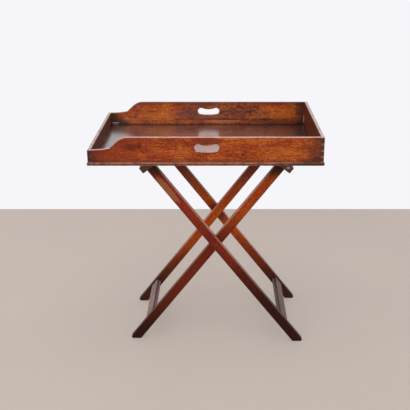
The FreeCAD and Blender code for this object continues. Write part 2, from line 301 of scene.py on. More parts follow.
@dataclass(frozen=True, kw_only=True)
class Patch(Mark):
    """A mark round a point, such as a stain, a chip or a glass ring.

    Attributes:
        centre: Middle of the patch.
        radii: Reach of the patch along its own X, Y and Z.
        turn: Rotation of the patch about the three axes.
        ring: Half width of the line of a ring as a share of its reach, or 0 for a full patch.
    """

    centre: tuple[float, float, float]
    radii: tuple[float, float, float]
    turn: tuple[float, float, float] = (0.0, 0.0, 0.0)
    ring: float = 0.0

    def spread(self, tree: Tree, place: Any) -> Any:
        """Measures the distance from the centre in reaches, or from the line of a ring in its half widths.

        Args:
            tree: Node tree of the finish.
            place: Output with Object coordinates.

        Returns:
            The output with that share.
        """
        reach = add_node(
            tree, "ShaderNodeMapping",
            {"Vector": place, "Location": self.centre, "Rotation": self.turn, "Scale": self.radii},
            vector_type="TEXTURE",
        )
        distance = add_node(tree, "ShaderNodeVectorMath", {0: reach}, out="Value", operation="LENGTH")
        if not self.ring:
            return distance
        from_line = add_node(
            tree, "ShaderNodeMath", {0: distance, 1: 1 / self.ring, 2: -1 / self.ring},
            operation="MULTIPLY_ADD",
        )
        return add_node(tree, "ShaderNodeMath", {0: from_line}, operation="ABSOLUTE")


@dataclass(frozen=True, kw_only=True)
class Fade(Mark):
    """A mark that covers all on one side and runs out along a line, such as a darker foot or painted shade.

    Attributes:
        start: Point up to which the mark is full.
        end: Point where it has run out.
    """

    start: tuple[float, float, float]
    end: tuple[float, float, float]
    edge: float = 1.0

    def spread(self, tree: Tree, place: Any) -> Any:
        """Measures the share of the way from start to end.

        Args:
            tree: Node tree of the finish.
            place: Output with Object coordinates.

        Returns:
            The output with that share.
        """
        run = Vector(self.end) - Vector(self.start)
        passed = add_node(tree, "ShaderNodeVectorMath", {0: place, 1: self.start}, operation="SUBTRACT")
        return add_node(
            tree, "ShaderNodeVectorMath", {0: passed, 1: run / run.length_squared}, out="Value",
            operation="DOT_PRODUCT",
        )


@dataclass(frozen=True)
class WoodBlank:
    """A wooden piece: where it lies, which way its fibres run, what has happened to its polish and what light
    and shade are painted on it.

    Attributes:
        node: Name of the CAD node.
        fibre: Direction of the fibres.
        seed: Shift of its figure, so that no two pieces match.
        marks: Marks in its polish and painted light and shade, in the order in which they cover one another.
        end_grain: Colour where the fibres are cut across.
        rim_wear_and_sheen: Share of the pale colour on faces that look up, partly rubbed polish and partly
            painted sheen.
    """

    node: str
    fibre: Fibre
    seed: float
    marks: tuple[Mark, ...] = ()
    end_grain: str = "#4a2a20"
    rim_wear_and_sheen: float = 0.0

    def place(self) -> tuple[Vector, tuple[float, float, float]]:
        """Finds the middle of the piece and its half sizes along and across its fibres.

        Returns:
            The middle in metres, and the half sizes in millimetres with the one along the fibres first.
        """
        low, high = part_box(self.node)
        middle = (low + high) / 2
        half = (high - low) / 2 / MM
        if self.fibre is Fibre.ALONG_X:
            return middle, (half.x, half.y, half.z)
        if self.fibre is Fibre.ALONG_Y:
            return middle, (half.y, half.x, half.z)
        return Vector((PIVOT.x, middle.y, PIVOT.z)), (half.length, half.y, LEG_WIDTH / 2 / MM)


@dataclass(frozen=True)
class Mahogany:
    """French-polished mahogany: a solid figure of streaks, mottle and pores under a skin of shellac.

    Attributes:
        name: Name of the finish.
        shades: Colours from the dark lines to the light flecks.
        worn_and_sheen: Colour of pale edges and rims, where the polish is rubbed through and where sheen and
            highlights are painted.
        raw: Colour of the unpolished underside.
        figure_mm: Size of the broad light and dark areas.
        streak_mm: Width of the streaks along the fibres.
        mottle_mm: Size of the fine mottle.
        pore_mm: Width of the open pores, drawn coarser than mahogany's 0.3 mm so that they show.
        contrast: Spread of the shades.
        relief: Strength of the bump that the streaks and pores give.
        relief_mm: Depth of that bump.
        roughness: Roughness of the skin of shellac.
        ior: Refractive index of the skin, low because it is thin and dulled by age.
        coat: Weight of the thick waxed coat on faces that look up.
        coat_roughness: Roughness of that coat.
        coat_ior: Refractive index of that coat.
        wear_and_highlight: Share of the pale colour along edges, partly rubbed polish and partly painted
            highlight.
        wear_and_highlight_mm: Reach of that pale colour from an edge.
        break_mm: Size of the patches that break that pale colour up.
        rub_mm: Size of the patches that hands have rubbed on a rim.
        rub_least: Share of the pale rim colour between the patches.
    """

    name: str
    shades: tuple[str, str, str, str]
    worn_and_sheen: str
    raw: str
    figure_mm: float = 40.0
    streak_mm: float = 6.0
    mottle_mm: float = 4.0
    pore_mm: float = 2.6
    contrast: float = 3.4
    relief: float = 0.15
    relief_mm: float = 0.2
    roughness: float = 0.34
    ior: float = 1.3
    coat: float = 0.0
    coat_roughness: float = 0.19
    coat_ior: float = 1.7
    wear_and_highlight: float = 0.4
    wear_and_highlight_mm: float = 3.5
    break_mm: float = 20.0
    rub_mm: float = 36.0
    rub_least: float = 0.65

    # Width of a pattern as a share of its length along the fibres
    AREA_DRAW, STREAK_DRAW, MOTTLE_DRAW, PORE_DRAW = 0.4, 0.06, 0.6, 0.12
    # Weights of the patterns in the tone, and the tones of the four shades
    AREA_WEIGHT, STREAK_WEIGHT, MOTTLE_WEIGHT = 0.3, 0.24, 0.5
    TONES = (0.1, 0.4, 0.62, 0.92)
    # Noise where pores open, where the pale colour of an edge is unbroken and where a rim is rubbed
    PORES, UNBROKEN, RUBBED = Band(0.6, 0.74, 0.5), Band(0.3, 0.6), Band(0.36, 0.6)
    # Part of a face's normal along the fibres on end grain, and upwards on the underside and on a rim
    CUT, UNDERSIDE, RIM = Band(0.75, 0.95, 0.85), Band(-0.8, -0.98, 0.75), Band(0.5, 0.95)
    # Swing of the roughness with the streaks, and what the unpolished underside adds to it
    UNEVEN, UNPOLISHED = 0.2, 0.4

    def figure(self, tree: Tree, local: Any, seed: float) -> tuple[Any, Any]:
        """Draws the figure of the wood as a tone from dark to light.

        The tone is a weighted sum of three noises: broad areas, streaks along the fibres, and mottle.

        Args:
            tree: Node tree of the finish.
            local: Output with the place in the piece, in millimetres with X along the fibres.
            seed: Shift of the noises.

        Returns:
            The outputs with the tone and with the streaks alone.
        """
        patterns = (
            (self.figure_mm, self.AREA_DRAW, self.AREA_WEIGHT),
            (self.streak_mm, self.STREAK_DRAW, self.STREAK_WEIGHT),
            (self.mottle_mm, self.MOTTLE_DRAW, self.MOTTLE_WEIGHT),
        )
        # Noise and tone both have their middle at one half
        tone: Any = 0.5 - self.contrast * 0.5
        noises = []
        for number, (size_mm, draw, weight) in enumerate(patterns):
            drawn = add_node(tree, "ShaderNodeVectorMath", {0: local, 1: (draw, 1, 1)}, operation="MULTIPLY")
            noise = add_node(
                tree, "ShaderNodeTexNoise",
                {"Vector": drawn, "W": seed + number, "Scale": 1 / size_mm, "Detail": 3.0, "Roughness": 0.6},
            )
            tone = add_node(
                tree, "ShaderNodeMath", {0: noise, 1: self.contrast * weight, 2: tone},
                operation="MULTIPLY_ADD",
            )
            noises.append(noise)
        return tone, noises[1]

    def colours(self, tree: Tree, tone: Any) -> Any:
        """Turns the tone of the figure into the shades of the wood.

        Args:
            tree: Node tree of the finish.
            tone: Output with the tone.

        Returns:
            The output with the colour.
        """
        colour = add_node(tree, "ShaderNodeValToRGB", {"Fac": tone})
        stops = colour.node.color_ramp.elements
        for position in self.TONES[1:3]:
            stops.new(position)
        for stop, position, shade in zip(stops, self.TONES, self.shades):
            stop.position = position
            stop.color = linear(shade)
        return colour

    def pores(self, tree: Tree, local: Any, seed: float) -> Any:
        """Draws the open pores as short dashes along the fibres.

        Args:
            tree: Node tree of the finish.
            local: Output with the place in the piece, in millimetres with X along the fibres.
            seed: Shift of the noise.

        Returns:
            The output with the share of pores.
        """
        drawn = add_node(
            tree, "ShaderNodeVectorMath", {0: local, 1: (self.PORE_DRAW, 1, 1)}, operation="MULTIPLY"
        )
        noise = add_node(
            tree, "ShaderNodeTexNoise",
            {"Vector": drawn, "W": seed, "Scale": 1 / self.pore_mm, "Detail": 1.0},
        )
        return add_node(tree, "ShaderNodeMapRange", self.PORES.inputs(noise))

    def cut_fibres(self, tree: Tree, normal: Any, fibre: Fibre) -> Any:
        """Finds the faces where the fibres are cut across.

        Args:
            tree: Node tree of the finish.
            normal: Output with the normal of a face.
            fibre: Direction of the fibres.

        Returns:
            The output with the share of end grain.
        """
        along = add_node(
            tree, "ShaderNodeVectorMath", {0: normal, 1: fibre.direction()},
            out="Value", operation="DOT_PRODUCT",
        )
        squarely = add_node(tree, "ShaderNodeMath", {0: along}, operation="ABSOLUTE")
        return add_node(tree, "ShaderNodeMapRange", self.CUT.inputs(squarely))

    def edge_wear_and_highlight(self, tree: Tree, local: Any, half: tuple[float, float, float], seed: float) -> Any:
        """Finds the pale edges of a piece: polish rubbed through, and painted highlight.

        Of the distances to the three pairs of faces, the second smallest is that to the nearest edge.

        Args:
            tree: Node tree of the finish.
            local: Output with the place in the piece, in millimetres with X along the fibres.
            half: Half sizes of the piece, in millimetres.
            seed: Shift of the noise that breaks the wear up.

        Returns:
            The output with the share of pale edge colour.
        """
        away = add_node(tree, "ShaderNodeVectorMath", {0: local}, operation="ABSOLUTE")
        depth = add_node(tree, "ShaderNodeVectorMath", {0: half, 1: away}, operation="SUBTRACT")
        split = add_node(tree, "ShaderNodeSeparateXYZ", {0: depth}).node.outputs
        least = add_node(tree, "ShaderNodeMath", {0: split[0], 1: split[1]}, operation="MINIMUM")
        most = add_node(tree, "ShaderNodeMath", {0: split[0], 1: split[1]}, operation="MAXIMUM")
        inner = add_node(tree, "ShaderNodeMath", {0: most, 1: split[2]}, operation="MINIMUM")
        edge = add_node(tree, "ShaderNodeMath", {0: least, 1: inner}, operation="MAXIMUM")
        reach = Band(self.wear_and_highlight_mm, 0.0, self.wear_and_highlight)
        near = add_node(tree, "ShaderNodeMapRange", reach.inputs(edge))
        noise = add_node(
            tree, "ShaderNodeTexNoise",
            {"Vector": local, "W": seed, "Scale": 1 / self.break_mm, "Detail": 4.0},
        )
        unbroken = add_node(tree, "ShaderNodeMapRange", self.UNBROKEN.inputs(noise))
        return add_node(tree, "ShaderNodeMath", {0: near, 1: unbroken}, operation="MULTIPLY")

    def rim_wear_and_sheen(self, tree: Tree, local: Any, rim: Any, blank: WoodBlank) -> Any:
        """Draws the pale colour of a rim: rubbing by hands in patches, together with painted sheen.

        Args:
            tree: Node tree of the finish.
            local: Output with the place in the piece, in millimetres with X along the fibres.
            rim: Output with the share of faces that look up.
            blank: The piece.

        Returns:
            The output with the share of pale rim colour.
        """
        noise = add_node(
            tree, "ShaderNodeTexNoise",
            {"Vector": local, "W": blank.seed, "Scale": 1 / self.rub_mm, "Detail": 4.0},
        )
        patchy = add_node(tree, "ShaderNodeMapRange", {**self.RUBBED.inputs(noise), "To Min": self.rub_least})
        rubbed = add_node(tree, "ShaderNodeMath", {0: patchy, 1: blank.rim_wear_and_sheen}, operation="MULTIPLY")
        return add_node(tree, "ShaderNodeMath", {0: rim, 1: rubbed}, operation="MULTIPLY")

    def material(self, blank: WoodBlank) -> bpy.types.Material:
        """Makes the finish for one piece.

        Args:
            blank: The piece.

        Returns:
            The material.
        """
        made = empty_material(f"{self.name}_{blank.node}")
        tree = made.node_tree
        middle, half = blank.place()
        place = add_node(tree, "ShaderNodeTexCoord", out="Object")
        normal = add_node(tree, "ShaderNodeTexCoord", out="Normal")
        local = add_node(
            tree, "ShaderNodeMapping",
            {"Vector": place, "Location": middle, "Rotation": blank.fibre.turn(), "Scale": (MM, MM, MM)},
            vector_type="TEXTURE",
        )
        upwards = add_node(tree, "ShaderNodeSeparateXYZ", {0: normal}, out="Z")
        below = add_node(tree, "ShaderNodeMapRange", self.UNDERSIDE.inputs(upwards))
        above = add_node(tree, "ShaderNodeMapRange", self.RIM.inputs(upwards))
        tone, streaks = self.figure(tree, local, blank.seed)
        pores = self.pores(tree, local, blank.seed)
        layers = [
            (pores, self.shades[0]),
            (self.cut_fibres(tree, normal, blank.fibre), blank.end_grain),
            # Pale edges, partly rubbed polish and partly painted highlight
            (self.edge_wear_and_highlight(tree, local, half, blank.seed), self.worn_and_sheen),
        ]
        wax: Any = self.coat
        for number, mark in enumerate(blank.marks):
            share = mark.share(tree, place, blank.seed + number)
            layers.append((share, mark.colour))
            if mark.dull:
                left = add_node(
                    tree, "ShaderNodeMath", {0: share, 1: -mark.dull, 2: 1.0}, operation="MULTIPLY_ADD"
                )
                wax = add_node(tree, "ShaderNodeMath", {0: wax, 1: left}, operation="MULTIPLY")
        # The pale rim is partly rubbed polish and partly painted sheen
        layers += [(below, self.raw), (self.rim_wear_and_sheen(tree, local, above, blank), self.worn_and_sheen)]
        waxed = add_node(tree, "ShaderNodeMath", {0: above, 1: wax}, operation="MULTIPLY")
        uneven = add_node(
            tree, "ShaderNodeMath", {0: streaks, 1: self.UNEVEN, 2: self.roughness - self.UNEVEN / 2},
            operation="MULTIPLY_ADD",
        )
        rough = add_node(
            tree, "ShaderNodeMath", {0: below, 1: self.UNPOLISHED, 2: uneven}, operation="MULTIPLY_ADD"
        )
        height = add_node(tree, "ShaderNodeMath", {0: streaks, 1: pores}, operation="SUBTRACT")
        colour = cover(tree, self.colours(tree, tone), layers)
        sockets = {
            "Base Color": colour, "Roughness": rough, "IOR": self.ior,
            "Coat Weight": waxed, "Coat Roughness": self.coat_roughness, "Coat IOR": self.coat_ior,
        }
        end_finish(tree, height, self.relief, self.relief_mm, sockets)
        return made


@dataclass(frozen=True)
class AgedMetal:
    """Iron or steel that has aged in use: uneven sheen with dull blotches and a little brown oxide.

    Attributes:
        name: Name of the finish.
        colour: Colour of the clean metal.
        oxide: Colour of the blotches.
        roughness: Roughness of the clean metal.
        blotch_mm: Size of the blotches.
        dulling: What the blotches add to the roughness.
        relief: Strength of the bump that the blotches give.
        relief_mm: Depth of that bump.
    """

    name: str
    colour: str
    oxide: str
    roughness: float
    blotch_mm: float = 3.0
    dulling: float = 0.3
    relief: float = 0.2
    relief_mm: float = 0.1

    # Noise where blotches stand
    BLOTCHES = Band(0.42, 0.62)

    def material(self) -> bpy.types.Material:
        """Makes the finish.

        Returns:
            The material.
        """
        made = empty_material(self.name)
        tree = made.node_tree
        place = add_node(tree, "ShaderNodeTexCoord", out="Object")
        noise = add_node(
            tree, "ShaderNodeTexNoise", {"Vector": place, "Scale": 1 / (self.blotch_mm * MM), "Detail": 4.0},
            noise_dimensions="3D",
        )
        share = add_node(tree, "ShaderNodeMapRange", self.BLOTCHES.inputs(noise))
        rough = add_node(
            tree, "ShaderNodeMath", {0: share, 1: self.dulling, 2: self.roughness}, operation="MULTIPLY_ADD"
        )
        colour = cover(tree, linear(self.colour), [(share, self.oxide)])
        sockets = {"Base Color": colour, "Metallic": 1.0, "Roughness": rough}
        end_finish(tree, noise, self.relief, self.relief_mm, sockets)
        return made


@dataclass(frozen=True, kw_only=True)
class JuteWebbing:
    """Woven jute: dull fibrous yarns, warp along the band and weft across it.

    Attributes:
        name: Name of the finish.
        yarn: Colour of the yarns that lie on top.
        gap: Colour between the yarns.
        selvedge: Colour of the two edges.
        yarn_mm: Spacing of the yarns, drawn coarser than jute's 2 mm so that the weave shows.
        width_mm: Width of the band.
        fluff_mm: Size of the unevenness of the yarns.
        roughness: Roughness of the fibres.
        sheen: Weight of the soft sheen that stray fibres give.
        relief: Strength of the bump that the yarns give.
        relief_mm: Depth of that bump.
    """

    name: str
    yarn: str
    gap: str
    selvedge: str
    yarn_mm: float
    width_mm: float
    fluff_mm: float = 5 / 3
    roughness: float = 0.9
    sheen: float = 0.2
    relief: float = 0.5
    relief_mm: float = 0.4

    # Name of the UV map, in metres along and across the band
    UV_NAME = "band"
    # Height where the yarns' own colour shows, and the place of the selvedges as a share of the width
    ON_TOP, SELVEDGES = Band(0.05, 0.5), Band(0.4, 0.45, 0.6)

    def material(self) -> bpy.types.Material:
        """Makes the finish, which reads the band's own UV map.

        Returns:
            The material.
        """
        made = empty_material(self.name)
        tree = made.node_tree
        flat = add_node(tree, "ShaderNodeUVMap", uv_map=self.UV_NAME)
        band = add_node(tree, "ShaderNodeMapping", {"Vector": flat, "Scale": (1 / MM, 1 / MM, 1 / MM)})
        # A wave texture of scale 1 repeats every tenth of pi
        wave = {"Vector": band, "Scale": math.pi / 10 / (2 * self.yarn_mm)}
        warp, weft = (
            add_node(tree, "ShaderNodeTexWave", wave, out="Fac", bands_direction=axis) for axis in ("Y", "X")
        )
        crossing = add_node(tree, "ShaderNodeMath", {0: warp, 1: weft}, operation="SUBTRACT")
        raised = add_node(tree, "ShaderNodeMath", {0: crossing}, operation="ABSOLUTE")
        fluff = add_node(
            tree, "ShaderNodeTexNoise", {"Vector": band, "Scale": 1 / self.fluff_mm, "Detail": 5.0},
            noise_dimensions="3D",
        )
        height = add_node(tree, "ShaderNodeMath", {0: raised, 1: fluff}, operation="MULTIPLY")
        on_top = add_node(tree, "ShaderNodeMapRange", self.ON_TOP.inputs(height), interpolation_type="LINEAR")
        across = add_node(tree, "ShaderNodeSeparateXYZ", {0: band}, out="Y")
        from_middle = add_node(tree, "ShaderNodeMath", {0: across}, operation="ABSOLUTE")
        share = add_node(tree, "ShaderNodeMath", {0: from_middle, 1: self.width_mm}, operation="DIVIDE")
        edge = add_node(tree, "ShaderNodeMapRange", self.SELVEDGES.inputs(share))
        colour = cover(tree, linear(self.gap), [(on_top, self.yarn), (edge, self.selvedge)])
        sockets = {"Base Color": colour, "Roughness": self.roughness, "Sheen Weight": self.sheen}
        end_finish(tree, height, self.relief, self.relief_mm, sockets)
        return made


# French-polished mahogany: orange brown under a thin skin of shellac, mottled, with pale edges and rims,
# partly rubbed and partly painted sheen
BOARD_POLISH = Mahogany(
    "french_polished_mahogany", ("#3e1408", "#822e0a", "#9c400e", "#c06626"), worn_and_sheen="#e6b4a8", raw="#5d3a28",
)
# The same polish painted lighter and more golden, as painted light on the back board's inner face, which the
# tray shades
BRIGHTENED_POLISH = replace(
    BOARD_POLISH, name="brightened_mahogany", shades=("#4c1a0b", "#963c12", "#b35215", "#d87c2a"),
    ior=1.42, wear_and_highlight=0.0,
)
# The same polish on the high end, whose grey rim is partly rubbed and partly painted sheen
GREY_RIM_POLISH = replace(BOARD_POLISH, name="grey_rimmed_mahogany", worn_and_sheen="#c0aeaa")
# Rubbed mahogany inside the low end, where the polish is gone and little shines; its pale grey rim is partly
# painted sheen
RUBBED_POLISH = replace(BOARD_POLISH, name="rubbed_mahogany", worn_and_sheen="#bdaca8", roughness=0.6, ior=1.15)
# Dark mahogany under thick wax, which mirrors the boards in a soft, blurred way; its pale edges are a painted
# highlight
BASE_POLISH = Mahogany(
    "waxed_mahogany", ("#2a120a", "#461e12", "#5a2a19", "#784028"), worn_and_sheen="#b0704f", raw="#4d3426",
    figure_mm=70.0, streak_mm=9.0, mottle_mm=9.0, contrast=2.4, relief=0.03, roughness=0.26, coat=1.0,
    coat_ior=2.25, wear_and_highlight=0.8, wear_and_highlight_mm=8.0,
)
# Mahogany stained red, dull and dark, with brown edges
RED_POLISH = Mahogany(
    "red_stained_mahogany", ("#300d06", "#6a1e0f", "#802913", "#963a19"), worn_and_sheen="#80503f", raw="#4a2a1e",
    contrast=2.2, ior=1.22,
)
# Mahogany stained orange, a little lighter than the red legs
ORANGE_POLISH = replace(
    RED_POLISH, name="orange_stained_mahogany", shades=("#3a1208", "#842c08", "#9e400c", "#b65814"),
    worn_and_sheen="#90604a",
)
# The same stain painted lighter amber on the rear legs, as painted light where less light reaches them
BRIGHTENED_ORANGE_POLISH = replace(
    ORANGE_POLISH, name="brightened_orange_mahogany", shades=("#48180a", "#98360a", "#b24c0e", "#ca6a1c"),
)
# Mahogany scuffed by feet, whose grey and lilac is partly dust and partly painted sheen, with little real
# sheen
SCUFFED_AND_SHEEN_POLISH = Mahogany(
    "scuffed_and_sheen_mahogany", ("#553d3a", "#7c615d", "#927672", "#a88e8a"), worn_and_sheen="#a48c86", raw="#4a3026",
    contrast=2.4, streak_mm=4.0, roughness=0.5,
)
# The same painted darker on the outer frame's stretcher, as painted shade on the side away from the light
SHADED_STRETCHER_POLISH = replace(
    SCUFFED_AND_SHEEN_POLISH, name="shaded_stretcher_mahogany", shades=("#402e2a", "#604742", "#725952", "#866e67"),
    worn_and_sheen="#846a63",
)
# Bright steel gone brown in the slots of the screw heads
SCREW_STEEL = AgedMetal("aged_screw_steel", "#8c857c", "#4a3a2c", roughness=0.35)
# Wrought iron filed flush with the wood and stained by the same polish
PIVOT_IRON = AgedMetal("filed_wrought_iron", "#7a5244", "#5c3020", roughness=0.45)
# Cut tacks, blued in the fire
TACK_STEEL = AgedMetal("blued_tack_steel", "#54565c", "#2e2a2a", roughness=0.3, blotch_mm=2.0)
# Jute yarns, unbleached and matt, woven tight with two brown selvedges
JUTE = JuteWebbing(
    name="woven_jute", yarn="#a58e68", gap="#5b4a33", selvedge="#7d6244", yarn_mm=4.0, width_mm=50.0,
)


@dataclass(frozen=True)
class BoardFace:
    """One long face of a board, on which a mark is placed by its x and its height.

    Attributes:
        y: Where the face lies.
        deep: How far its marks reach into the board.
    """

    y: float
    deep: float

    def spot(self, x: float, z: float, half_x: float, half_z: float, colour: str, **look: Any) -> Patch:
        """Gives a patch from the place of its middle, its reaches along x and z, and its other fields."""
        return Patch(centre=(x, self.y, z), radii=(half_x, self.deep, half_z), colour=colour, **look)

    def fade(self, start: tuple[float, float], end: tuple[float, float], colour: str, **look: Any) -> Fade:
        """Gives a fade from the x and z where it is full to those where it has run out."""
        return Fade(start=(start[0], self.y, start[1]), end=(end[0], self.y, end[1]), colour=colour, **look)


@dataclass
class Tray:
    """The dovetailed tray: a base, two long boards with hand holes, a low end and a high end.

    Attributes:
        front: Finish of the front board.
        back: Finish of the back board.
        low_end: Finish of the low end.
        high_end: Finish of the high end.
        base: Finish of the base.
        dark_end: Colour of the dark end grain and of the polish gathered beside it.
        red: Colour of the redder polish.
        gold: Colour of the lighter, golden wood.
        stain: Colour of the dark water stain inside the back board.
        bare: Colour of bare wood where the polish is chipped.
        grime_and_shade: Colour of the dark band along the inner corners, partly dirty and partly painted
            shade.
        skin: Depth to which the inside of an end differs in colour.
    """

    front: Mahogany
    back: Mahogany
    low_end: Mahogany
    high_end: Mahogany
    base: Mahogany
    dark_end: str = "#3d211b"
    red: str = "#6a2410"
    gold: str = "#bd6820"
    stain: str = "#482a30"
    bare: str = "#e6dcd2"
    grime_and_shade: str = "#150906"
    skin: float = 4 * MM

    def front_marks(self) -> tuple[Mark, ...]:
        """Gives the marks on the outside of the front board."""
        low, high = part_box("front_board")
        face = BoardFace(low.y, deep=20 * MM)
        specks = (
            (-0.260, 0.808), (-0.245, 0.793), (-0.277, 0.797),
            (-0.335, 0.818), (-0.318, 0.802), (-0.222, 0.820),
        )
        return (
            # Broad red and golden areas
            face.fade((-0.36, 0), (0.02, 0), "#7c2c10", strength=0.5, grain_mm=40),
            face.spot(0.174, 0.865, 0.130, 0.014, self.gold, streak_mm=7, ragged=0.5),
            face.spot(0.280, 0.815, 0.110, 0.036, self.gold, strength=0.5, streak_mm=4),
            face.spot(-0.085, 0.818, 0.060, 0.030, self.gold, strength=0.5, streak_mm=5, ragged=0.6),
            face.spot(0.010, 0.863, 0.080, 0.019, self.red, strength=0.85),
            face.spot(0.238, 0.848, 0.050, 0.007, self.red, strength=0.7),
            # A dark knot and the specks below it
            face.spot(-0.263, 0.840, 0.040, 0.016, "#581a08", strength=0.75, grain_mm=8),
            face.spot(-0.235, 0.845, 0.008, 0.018, "#541a08", strength=0.75, grain_mm=8),
            *(face.spot(x, z, 0.004, 0.0035, "#3a1208", strength=0.8) for x, z in specks),
            # Polish gathered at both ends, and the end grain of the pins
            face.fade((low.x + 0.015, 0), (low.x + 0.140, 0), self.red, strength=0.7),
            face.fade((low.x + 0.010, 0), (low.x + 0.050, 0), self.dark_end, strength=0.6),
            face.spot(low.x, low.z, 0.055, 0.022, "#33201a", strength=0.8),
            face.fade((high.x - 0.010, 0), (high.x - 0.095, 0), self.dark_end, strength=0.7),
            face.spot(0.405, 0.790, 0.080, 0.030, "#3a2018", strength=0.5),
            face.fade((high.x - 0.012, 0), (high.x - 0.016, 0), self.dark_end, strength=0.6, ragged=0.1),
            face.fade((low.x + 0.010, 0), (low.x + 0.012, 0), self.dark_end, strength=0.9, ragged=0.1),
            # Painted shade along the foot, above the joint with the base
            face.fade((0, low.z + 0.001), (0, low.z + 0.013), "#4e1e0e", strength=0.5),
        )

    def back_marks(self) -> tuple[Mark, ...]:
        """Gives the marks on the inside of the back board."""
        low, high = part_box("back_board")
        foot = low.z
        face = BoardFace(low.y, deep=12 * MM)
        thin = BoardFace(low.y, deep=4 * MM)
        return (
            # Golden areas and the dull polish round the hand hole
            face.spot(-0.210, 0.818, 0.110, 0.018, self.gold, strength=0.75, streak_mm=5),
            face.spot(0.330, 0.830, 0.090, 0.034, self.gold, strength=0.5, streak_mm=5),
            face.spot(0.000, 0.866, 0.090, 0.016, "#5a3430", strength=0.65),
            # A water stain, even and streaked, on both sides of the hole, with paler wood below
            face.spot(-0.080, 0.832, 0.085, 0.040, self.stain, strength=0.3, ragged=0.9, grain_mm=9),
            face.spot(
                -0.075, 0.830, 0.085, 0.040, self.stain, strength=0.65, ragged=0.9, grain_mm=14, streak_mm=2.6
            ),
            face.spot(0.130, 0.838, 0.140, 0.040, self.stain, strength=0.35, ragged=0.9, grain_mm=9),
            face.spot(
                0.130, 0.838, 0.145, 0.040, "#331a20", strength=0.8, ragged=0.9, grain_mm=14, streak_mm=3.2
            ),
            face.spot(0.005, 0.813, 0.100, 0.012, "#7e4c3e", grain_mm=9),
            face.spot(0.050, 0.795, 0.110, 0.007, "#bc7050", strength=0.7, grain_mm=9),
            face.spot(0.225, 0.796, 0.065, 0.009, "#4e2c28", strength=0.8, grain_mm=9),
            face.spot(0.340, foot, 0.150, 0.028, "#561f10", strength=0.7),
            # Dark polish along the rim, and the line that standing water left
            face.fade((0, high.z), (0, high.z - 0.022), "#5c261a", strength=0.75),
            face.spot(
                0.070, 0.8035, 0.220, 0.006, "#4c2018", strength=0.9, ragged=0.8, grain_mm=7, streak_mm=6
            ),
            face.spot(0.245, 0.8035, 0.040, 0.006, "#381a16", strength=0.9, grain_mm=9),
            face.spot(-0.131, 0.801, 0.010, 0.006, self.stain, strength=0.9),
            # A glass ring
            face.spot(-0.318, 0.835, 0.024, 0.024, self.red, strength=0.5, ring=0.25, ragged=0.2),
            # Painted shade at both ends, a painted glint of light at the foot of the left corner, and chips
            # of bare wood in the corners
            # Painted shadow of the low end
            face.fade((-0.382, 0.803), (-0.358, 0.832), "#331a14", strength=0.9),
            # Painted shade in the corner by the high end
            face.fade((high.x - 0.020, 0), (high.x - 0.080, 0), "#3a1a10", strength=0.9),
            # Painted glint of light along the foot, where light shows through a gap under the board
            thin.spot(-0.392, foot + 0.0035, 0.016, 0.0013, "#fff4e8", strength=1.0, ragged=0.1, edge=0.3),
            thin.spot(-0.3775, foot + 0.003, 0.003, 0.002, self.bare, ragged=0.1),
            thin.spot(0.4062, foot + 0.024, 0.0026, 0.026, "#c8a894", strength=0.5),
        )

    def base_marks(self) -> tuple[Mark, ...]:
        """Gives the marks on the base: a lighter middle and streak, painted shade at the high end, and a
        dirty band with painted shade at the back.
        """
        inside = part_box("back_board")[0].y
        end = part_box("high_end_board")[0].x
        return (
            Patch(
                centre=(0.0, -0.05, 0.784), radii=(0.37, 0.32, 0.05), colour="#b06a4a",
                ragged=0.35, grain_mm=90, edge=1.0,
            ),
            Patch(centre=(-0.235, 0.182, 0.784), radii=(0.035, 0.012, 0.02), colour="#b0603a", streak_mm=5),
            # Painted shade at the high end
            Fade(start=(end, 0, 0), end=(end - 0.22, 0, 0), colour="#28120c", strength=0.7, dull=0.6),
            # A dirty band with painted shade along the foot of the back board
            Fade(
                start=(0, inside - 0.008, 0), end=(0, inside - 0.065, 0), colour=self.grime_and_shade, strength=0.9,
                ragged=0.15, dull=0.9,
            ),
        )

    def end_mark(self, inside: float, depth: float, colour: str, strength: float) -> Mark:
        """Gives the colour of an end's inner face, which runs out in the thickness of the board."""
        end = inside + depth
        return Fade(start=(inside, 0, 0), end=(end, 0, 0), colour=colour, strength=strength, ragged=0.1)

    def dress(self) -> None:
        """Puts the finishes on the CAD pieces of the tray."""
        low_mark = self.end_mark(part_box("low_end_board")[1].x, -self.skin, "#5c3f36", 0.85)
        high_mark = self.end_mark(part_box("high_end_board")[0].x, self.skin, "#55281a", 0.8)
        # The rims of the front and the ends get a pale colour, partly rubbed and partly painted sheen
        blanks = (
            (self.front, WoodBlank("front_board", Fibre.ALONG_X, 3.0, self.front_marks(), rim_wear_and_sheen=0.85)),
            (self.back, WoodBlank("back_board", Fibre.ALONG_X, 11.0, self.back_marks())),
            (self.low_end, WoodBlank("low_end_board", Fibre.ALONG_Y, 23.0, (low_mark,), self.dark_end, 0.95)),
            (self.high_end, WoodBlank("high_end_board", Fibre.ALONG_Y, 31.0, (high_mark,), "#85573f", 0.9)),
            (self.base, WoodBlank("tray_base", Fibre.ALONG_X, 41.0, self.base_marks())),
        )
        for finish, blank in blanks:
            dress_node(blank.node, finish.material(blank))
        dress_node("base_screws", SCREW_STEEL.material())


